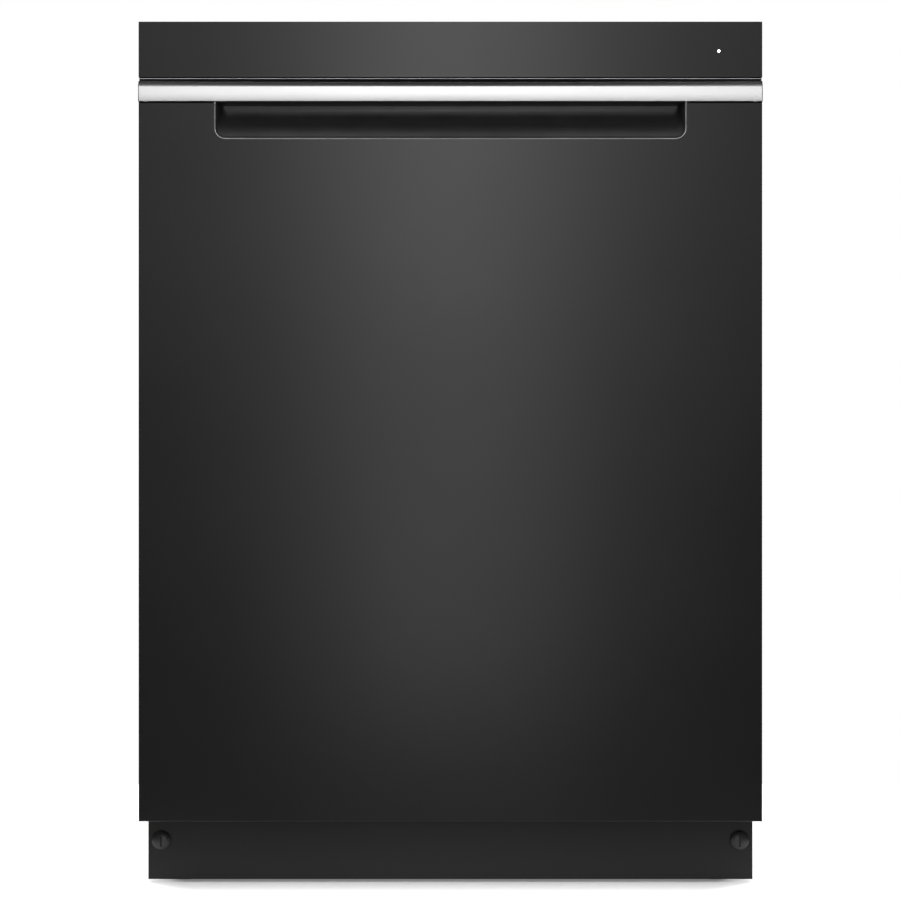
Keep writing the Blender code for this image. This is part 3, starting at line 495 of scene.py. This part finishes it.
def make_springs():
    """Close-wound helical springs with straight hooked ends."""
    turns, wire, steps = 46, 0.0013, 14
    for name, _ in SIDES:
        low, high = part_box("door_spring_" + name)
        x, z = (low.x + high.x) / 2, (low.z + high.z) / 2
        start, end = low.y + 0.036, high.y - 0.041
        radius = (high.z - low.z) / 2 - wire
        path = [Vector((x, low.y + 0.002, z - 0.004)), Vector((x, low.y + 0.001, z)),
                Vector((x, low.y + 0.030, z))]
        for i in range(turns * steps + 1):
            t = i / (turns * steps)
            grow = min(1.0, t * turns, (1 - t) * turns)
            angle = 2 * math.pi * turns * t
            path.append(Vector((x + radius * grow * math.cos(angle), start + (end - start) * t,
                                z + radius * grow * math.sin(angle))))
        path += [Vector((x, high.y - 0.030, z)), Vector((x, high.y - 0.001, z)),
                 Vector((x, high.y - 0.002, z - 0.004))]
        wires("door_coil_" + name, [(wire, False, [path])], "plated_steel", "root", ["door_spring_" + name])


# Racks

def basket_wires(low, high, rim):
    """U-shaped cross and long wires with two closed rims, inside the box from low to high."""
    x, front, back = high.x - WIRE, low.y + WIRE, high.y - WIRE
    floor = low.z + WIRE
    bend, lean = 0.022, 0.006
    cross = [bent([(-x, y, rim), (-x + lean, y, floor), (x - lean, y, floor), (x, y, rim)], bend)
             for y in spread(front + 0.016, back - 0.016, 15)]
    raised = floor + 2 * WIRE
    long = [bent([(u, front, rim), (u, front + lean, raised), (u, back - lean, raised), (u, back, rim)], bend)
            for u in spread(-x + 0.030, x - 0.030, 11)]
    loops = []
    for level, inset in ((rim, 0.0), (rim - 0.030, 0.0016)):
        ring = rounded((-x + inset, front), (x - inset, back), 0.018, 6)
        loops.append([Vector((u, v, level)) for u, v in ring])
    return cross, long, loops


def make_lower_rack():
    """The lower basket with two fields of tines, and the brackets that hold its wheels."""
    low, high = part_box("lower_rack")
    low = Vector((-RACK_HALF, low.y, low.z + 0.0165))
    high = Vector((RACK_HALF, high.y, high.z))
    rim = high.z - 0.0026
    cross, long, loops = basket_wires(low, high, rim)
    floor = low.z + WIRE
    tines = []
    rails = []
    for side in (-1, 1):
        for y in (-0.092, -0.024, 0.044, 0.112, 0.180):
            rails.append([Vector((side * x, y, floor + 0.0030)) for x in (0.024, 0.210)])
            for x in spread(0.028, 0.204, 7):
                foot, tip = (side * x, y - 0.001, floor), (side * x, y + 0.010, floor + 0.074)
                tines.append(bent([foot, tip], 0.003))
    wide, narrow, front = 0.075, 0.070, low.y + 0.002
    grip = bent([(-wide, front, rim), (-narrow, front, rim - 0.026), (narrow, front, rim - 0.026),
                 (wide, front, rim)], 0.010)
    plain_wires = cross + long + rails + [grip]
    groups = [(WIRE, False, plain_wires), (RIM_WIRE, True, loops), (TINE_WIRE, False, tines)]
    wires("lower_basket_wires", groups, "rack_nylon", "lower_rack", ["lower_rack"])

    bm = bmesh.new()
    for name, sign in SIDES:
        for row in ("front", "rear"):
            wheel_low, wheel_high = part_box(f"rack_wheel_{row}_{name}")
            y, z = (wheel_low.y + wheel_high.y) / 2, (wheel_low.z + wheel_high.z) / 2
            plate = sorted((sign * 0.2440, sign * 0.2493))
            outline = arc((y, z), 0.0085, 180, 360, 10) + [(y + 0.0110, z + 0.024), (y - 0.0110, z + 0.024)]
            extrude(bm, outline, "X", *plate)
            ends = sorted((sign * 0.2485, sign * 0.2630))
            turn(bm, [(0, ends[0]), (0.0038, ends[0]), (0.0038, ends[1]), (0, ends[1])], "X", (y, z), 24)
            cap = sorted((sign * 0.2613, sign * 0.2632))
            turn(bm, [(0, cap[0]), (0.0062, cap[0]), (0.0055, cap[1]), (0, cap[1])], "X", (y, z), 24)
    add_piece("wheel_brackets", bm, "grey_plastic", "lower_rack")


def make_upper_rack():
    """The upper basket, the side runners with their rollers, and the manifold that feeds the middle arm."""
    low = Vector((-RACK_HALF, -0.2255, 0.4950))
    high = Vector((RACK_HALF, 0.2555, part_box("upper_rack")[1].z))
    rim = high.z - 0.0026
    cross, long, loops = basket_wires(low, high, rim)
    floor = low.z + WIRE
    columns = (-0.095, 0.015, 0.125)
    tines = [bent([(x, y, floor), (x + 0.004, y, floor + 0.052)], 0.003)
             for x in columns for y in spread(-0.190, 0.215, 13)]
    rails = [[Vector((x, -0.200, floor + 0.0030)), Vector((x, 0.225, floor + 0.0030))] for x in columns]
    groups = [(WIRE, False, cross + long + rails), (RIM_WIRE, True, loops), (TINE_WIRE, False, tines)]
    wires("upper_basket_wires", groups, "rack_nylon", "upper_rack", ["upper_rack"])

    bm = bmesh.new()
    rail_low, rail_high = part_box("upper_rail_left")
    z = (rail_low.z + rail_high.z) / 2
    inner, groove, outer = 0.2515, 0.2690, 0.2800
    for sign in (-1, 1):
        plate = sorted((sign * 0.2450, sign * inner))
        extrude(bm, rounded((-0.0250, z - 0.0120), (0.2250, z + 0.0120), 0.006), "X", *plate)
        for y in (0.0, 0.2000):
            roller = [(0, inner), (0.0045, inner), (0.0045, groove), (0.0088, groove),
                      (0.0094, groove + 0.0008), (0.0094, outer - 0.0008), (0.0088, outer), (0, outer)]
            turn(bm, [(radius, sign * x) for radius, x in roller[::sign]], "X", (y, z), 32)
    add_piece("rack_runners", bm, "grey_plastic", "upper_rack")

    bm = bmesh.new()
    hub_y = 0.030
    turn(bm, [(0, 0.4780), (0.0150, 0.4780), (0.0160, 0.4800), (0.0160, 0.4900), (0.0120, 0.4945),
              (0, 0.4945)], "Z", (0, hub_y))
    extrude(bm, rounded((-0.0090, 0.4802), (0.0090, 0.4936), 0.005, 4), "Y", hub_y, 0.2560)
    turn(bm, [(0, 0.2540), (0.0098, 0.2540), (0.0098, 0.2640), (0, 0.2640)], "Y", (0, 0.4870), 28)
    add_piece("rack_manifold", bm, "grey_plastic", "upper_rack")


def make_cup_shelf():
    """Twelve cross wires and one long wire in a closed frame."""
    low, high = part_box("cup_shelf")
    z = (low.z + high.z) / 2
    inner, outer = low.x + 0.0020, high.x - 0.0020
    middle = (inner + outer) / 2
    ribs = [[Vector((inner, y, z)), Vector((outer, y, z))] for y in spread(low.y + 0.020, high.y - 0.020, 12)]
    ribs.append([Vector((middle, low.y + 0.003, z)), Vector((middle, high.y - 0.003, z))])
    ring = [Vector((x, y, z)) for x, y in rounded((inner, low.y + 0.002), (outer, high.y - 0.002), 0.012, 6)]
    groups = [(0.0014, False, ribs), (0.0019, True, [ring])]
    wires("cup_shelf_wires", groups, "rack_nylon", "cup_shelf", ["cup_shelf"])


def make_silverware_basket():
    """Open lattice walls on a frame, three cells and an arched handle."""
    low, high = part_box("silverware_basket")
    top = low.z + 0.1096
    wall, half_bar = 0.0020, 0.0008
    bm = bmesh.new()
    dividers = spread(low.x, high.x, 4)

    def bar(axis, start, end, corner, opposite):
        """Adds a straight bar along `axis` whose section has these two corners."""
        section = [corner, (opposite[0], corner[1]), opposite, (corner[0], opposite[1])]
        extrude(bm, section, axis, start, end)

    def lattice(axis, level, start, end):
        """Vertical and level bars across one wall."""
        count = max(2, round((end - start) / 0.0115))
        for u in spread(start + 2 * half_bar, end - 2 * half_bar, count):
            bar(axis, level, level + wall, (u - half_bar, low.z), (u + half_bar, top))
        for z in spread(low.z + 2 * half_bar, top - 0.0020, 9):
            depth = 0.0022 if z > top - 0.004 else half_bar
            bar(axis, level + 0.0002, level + wall - 0.0002, (start, z - depth), (end, z + depth))

    for y in (low.y, high.y - wall):
        lattice("Y", y, low.x, high.x)
    for x in (low.x, dividers[1] - wall / 2, dividers[2] - wall / 2, high.x - wall):
        lattice("X", x, low.y, high.y)
    for x in spread(low.x + 0.004, high.x - 0.004, 22):
        bar("Z", low.z, low.z + wall, (x - half_bar, low.y), (x + half_bar, high.y))
    for y in spread(low.y + 0.004, high.y - 0.004, 8):
        bar("Z", low.z + 0.0002, low.z + wall - 0.0002, (low.x, y - half_bar), (high.x, y + half_bar))
    middle = (low.y + high.y) / 2
    foot = dividers[2]
    start, across, up = top - 0.010, foot - 0.024, high.z - 0.028
    arch = [(foot + 0.004, start)] + arc((across, up), 0.028, 0, 90, 8)
    arch += arc((-across, up), 0.028, 90, 180, 8) + [(-foot - 0.004, start)]
    arch += [(-foot + 0.004, start)] + arc((-across, up), 0.020, 180, 90, 8)
    arch += arc((across, up), 0.020, 90, 0, 8) + [(foot - 0.004, start)]
    extrude(bm, arch, "Y", middle - 0.005, middle + 0.005)
    add_piece("silverware_lattice", bm, "grey_plastic", "silverware_basket", ["silverware_basket"])


# Wash system and small running gear

def make_spray_arm(name, blade):
    """A blade with a crowned section, jets along it and a capped hub."""
    low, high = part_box(name)
    centre = (0.0, (low.y + high.y) / 2)
    reach, tip, root = high.x, 0.0090, 0.0158
    middle, half = (blade[0] + blade[1]) / 2, (blade[1] - blade[0]) / 2
    straight = reach - tip
    stations = [(straight + tip * part, tip * math.sqrt(1 - part * part))
                for part in (0.9999, 0.99, 0.96, 0.90, 0.80, 0.62, 0.35, 0.0)]
    stations += [(u, tip + (root - tip) * (straight - u) / (straight - 0.03))
                 for u in spread(reach - 0.03, 0.03, 8)]
    stations.append((0.015, root))
    stations = stations + [(-u, w) for u, w in reversed(stations)]
    bm = bmesh.new()
    rings = []
    corners = 20
    for x, width in stations:
        ring = []
        for k in range(corners):
            angle = 2 * math.pi * k / corners
            cos, sin = math.cos(angle), math.sin(angle)
            y = centre[1] + width * math.copysign(abs(cos) ** 0.7, cos)
            z = middle + half * math.copysign(abs(sin) ** 0.8, sin) * min(1.0, width / 0.005)
            ring.append(bm.verts.new((x, y, z)))
        rings.append(ring)
    skin(bm, rings)
    bm.faces.new(rings[0])
    bm.faces.new(rings[-1])
    hub = high.y - centre[1]
    turn(bm, [(0, low.z), (hub - 0.001, low.z), (hub, low.z + 0.001), (hub, high.z - 0.0015),
              (hub - 0.0015, high.z - 0.0002), (0.0095, high.z - 0.0002), (0.0090, high.z - 0.0010),
              (0.0045, high.z - 0.0010), (0.0040, high.z), (0, high.z)], "Z", centre)
    add_piece(name + "_blade", bm, "grey_plastic", name, [name], angle=45)

    face = blade[1]
    bm = bmesh.new()
    for side in (-1, 1):
        for i, u in enumerate(spread(0.034, reach - 0.014, 7)):
            y = centre[1] + side * (0.0050 if i % 2 else -0.0035) * (1 - 0.4 * u / reach)
            turn(bm, [(0, face - 0.0012), (0.0027, face - 0.0012), (0.0027, face + 0.0001),
                      (0.0018, face + 0.0003), (0.0015, face - 0.0004), (0, face - 0.0004)],
                 "Z", (side * u, y), 16)
    add_piece(name + "_jets", bm, "black_plastic", name)


def make_wheels():
    """Treaded rack wheels with a thin web, five ribs and a hub."""
    for row in ("front", "rear"):
        for name, sign in SIDES:
            node = f"rack_wheel_{row}_{name}"
            low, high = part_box(node)
            centre = ((low.y + high.y) / 2, (low.z + high.z) / 2)
            radius = (high.z - low.z) / 2
            inner, outer = (low.x, high.x) if sign > 0 else (high.x, low.x)
            width = outer - inner
            rim, web, hub, bore = radius - 0.0038, radius - 0.0042, 0.0076, 0.0047
            profile = [        # radius, and share of the width from the inner face
                (rim, 0.02), (radius - 0.0010, 0.0), (radius, 0.14), (radius, 0.86), (radius - 0.0010, 1.0),
                (rim, 0.98), (web, 0.62), (hub + 0.0006, 0.62), (hub, 0.95), (bore, 0.95), (bore, 0.05),
                (hub, 0.05), (hub + 0.0006, 0.42), (web, 0.42)]
            bm = bmesh.new()
            turn(bm, [(r, inner + width * share) for r, share in profile], "X", centre, 48)
            near, far, half = 0.0074, radius - 0.0036, 0.0008
            for k in range(5):
                turned = math.radians(72 * k + 18)
                u, v = math.cos(turned), math.sin(turned)
                rib = [(centre[0] + r * u - w * v, centre[1] + r * v + w * u)
                       for r, w in ((near, -half), (far, -half), (far, half), (near, half))]
                extrude(bm, rib, "X", inner + width * 0.14, inner + width * 0.86)
            add_piece(node + "_tread", bm, "grey_plastic", node, [node], angle=40)


def add_rib(bm, x, thick, inner, outer, centre, segments):
    """Adds a flat ring about a line along X."""
    turn(bm, [(inner, x), (outer, x), (outer, x + thick), (inner, x + thick)], "X", centre, segments)


def make_pump_ribs():
    """Cooling ribs round both pump motors, and six screw bosses on the end of the larger one."""
    low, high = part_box("circulation_pump")
    centre = ((low.y + high.y) / 2, (low.z + high.z) / 2)
    radius = (high.z - low.z) / 2
    bm = bmesh.new()
    for x in spread(low.x + 0.026, high.x - 0.020, 11):
        add_rib(bm, x, 0.0018, radius - 0.004, radius + 0.0012, centre, 48)
    for k in range(6):
        angle = math.radians(60 * k)
        spot = (centre[0] + 0.0205 * math.cos(angle), centre[1] + 0.0205 * math.sin(angle))
        face = high.x
        turn(bm, [(0, face - 0.001), (0.0030, face - 0.001), (0.0026, face + 0.0016), (0, face + 0.0016)],
             "X", spot, 12)
    add_piece("circulation_pump_ribs", bm, "grey_plastic", "root")

    bm = bmesh.new()
    for x in spread(-0.166, -0.124, 8):
        add_rib(bm, x, 0.0015, 0.0215, 0.0249, (-0.0200, 0.0640), 40)
    add_piece("drain_pump_ribs", bm, "grey_plastic", "root")


# Surroundings

def make_stage():
    """A pale floor that ends before it would show as a horizon."""
    half, front = 0.66, -0.52
    bm = bmesh.new()
    bmesh.ops.create_grid(bm, x_segments=1, y_segments=1, size=half)
    for vert in bm.verts:
        vert.co.y = max(vert.co.y, front)
    mesh = bpy.data.meshes.new("floor")
    bm.to_mesh(mesh)
    bm.free()
    floor = bpy.data.objects.new("floor", mesh)
    bpy.context.scene.collection.objects.link(floor)
    floor.location.z = -0.0004
    paint = surface("floor_paint", grey(0.86), grey(0.90), (0.7, 0.8), grain=2, bump=0.0, specular=0.1)
    shader = paint.node_tree.nodes["Principled BSDF"]
    shader.inputs["Emission Color"].default_value = (1, 1, 1, 1)
    shader.inputs["Emission Strength"].default_value = 0.20
    floor.data.materials.append(paint)


LIGHTS = {    # centre, aimed at, width and height in metres, watts, seen in reflections
    "key": ((0, -1.51, 1.06), (0, -0.31, 1.06), (0.25, 0.88), 8.3, True),
    "low_key": ((0, -1.51, 0.40), (0, -0.31, 0.40), (0.25, 0.70), 3.8, True),
    "fill": ((0, -1.51, 1.05), (0, -0.31, 1.05), (1.50, 0.90), 4.0, True),
    "low_fill": ((0, -1.51, 0.37), (0, -0.31, 0.37), (1.50, 0.46), 0.4, True),
    "front_top": ((0, -3.0, 2.6), (0, -0.31, 0.2), (3.0, 1.5), 75.0, True),
    "overhead": ((0, -0.5, 3.2), (0, -0.5, 0), (4.0, 4.0), 140.0, False),
    "back_left": ((-1.9, 2.0, 1.5), (0, 0.2, 0.4), (1.2, 1.2), 85.0, False),
    "back_right": ((1.9, 2.0, 1.5), (0, 0.2, 0.4), (1.2, 1.2), 85.0, False),
}


def make_lights():
    """Soft panels: the first four shape the glow on the door, the others fill the rest."""
    for name, (place, target, size, power, glossy) in LIGHTS.items():
        data = bpy.data.lights.new(name, "AREA")
        data.shape = "RECTANGLE"
        data.size, data.size_y = size
        data.energy = power
        made = bpy.data.objects.new(name, data)
        bpy.context.scene.collection.objects.link(made)
        made.location = place
        made.rotation_mode = "QUATERNION"
        made.rotation_quaternion = (Vector(target) - Vector(place)).to_track_quat("-Z", "Y")
        made.visible_glossy = glossy
    bpy.context.scene.view_settings.view_transform = "Standard"


def make_world():
    """White to the eye, and a dim even grey to the surfaces that it lights."""
    world = bpy.data.worlds.new("studio")
    bpy.context.scene.world = world
    world.use_nodes = True
    tree = world.node_tree
    tree.nodes.clear()
    out = tree.nodes.new("ShaderNodeOutputWorld")
    mix = tree.nodes.new("ShaderNodeMixShader")
    path = tree.nodes.new("ShaderNodeLightPath")
    dim = tree.nodes.new("ShaderNodeBackground")
    dim.inputs["Color"].default_value = (1, 1, 1, 1)
    dim.inputs["Strength"].default_value = 0.06
    white = tree.nodes.new("ShaderNodeBackground")
    white.inputs["Color"].default_value = (1, 1, 1, 1)
    white.inputs["Strength"].default_value = 1.0
    tree.links.new(path.outputs["Is Camera Ray"], mix.inputs["Fac"])
    tree.links.new(dim.outputs["Background"], mix.inputs[1])
    tree.links.new(white.outputs["Background"], mix.inputs[2])
    tree.links.new(mix.outputs["Shader"], out.inputs["Surface"])


def make_camera():
    """A long lens, level, square to the front and at the height of the door's middle."""
    distance, across, height = 3.0, 0.8736, 0.4292
    data = bpy.data.cameras.new("camera")
    data.sensor_width = 36.0
    data.lens = data.sensor_width * distance / across
    made = bpy.data.objects.new("camera", data)
    bpy.context.scene.collection.objects.link(made)
    made.location = (-0.0004, CAD_BOX[0].y + 0.002 - distance, height)
    made.rotation_euler = (math.pi / 2, 0, 0)
    bpy.context.scene.camera = made


def paint_frame():
    """Gives every CAD node its slot's finish."""
    for name, node in NODES.items():
        node.data.materials.clear()
        node.data.materials.append(FINISH[SLOT_OF[name]])


paint_frame()
make_handle()
make_pocket()
make_blanket()
make_gasket()
make_springs()
make_lower_rack()
make_upper_rack()
make_cup_shelf()
make_silverware_basket()
make_spray_arm("lower_spray_arm", (0.1315, 0.1405))
make_spray_arm("middle_spray_arm", (0.4600, 0.4690))
make_spray_arm("top_spray_arm", (0.7790, 0.7870))
make_wheels()
make_pump_ribs()
make_stage()
make_world()
make_lights()
make_camera()
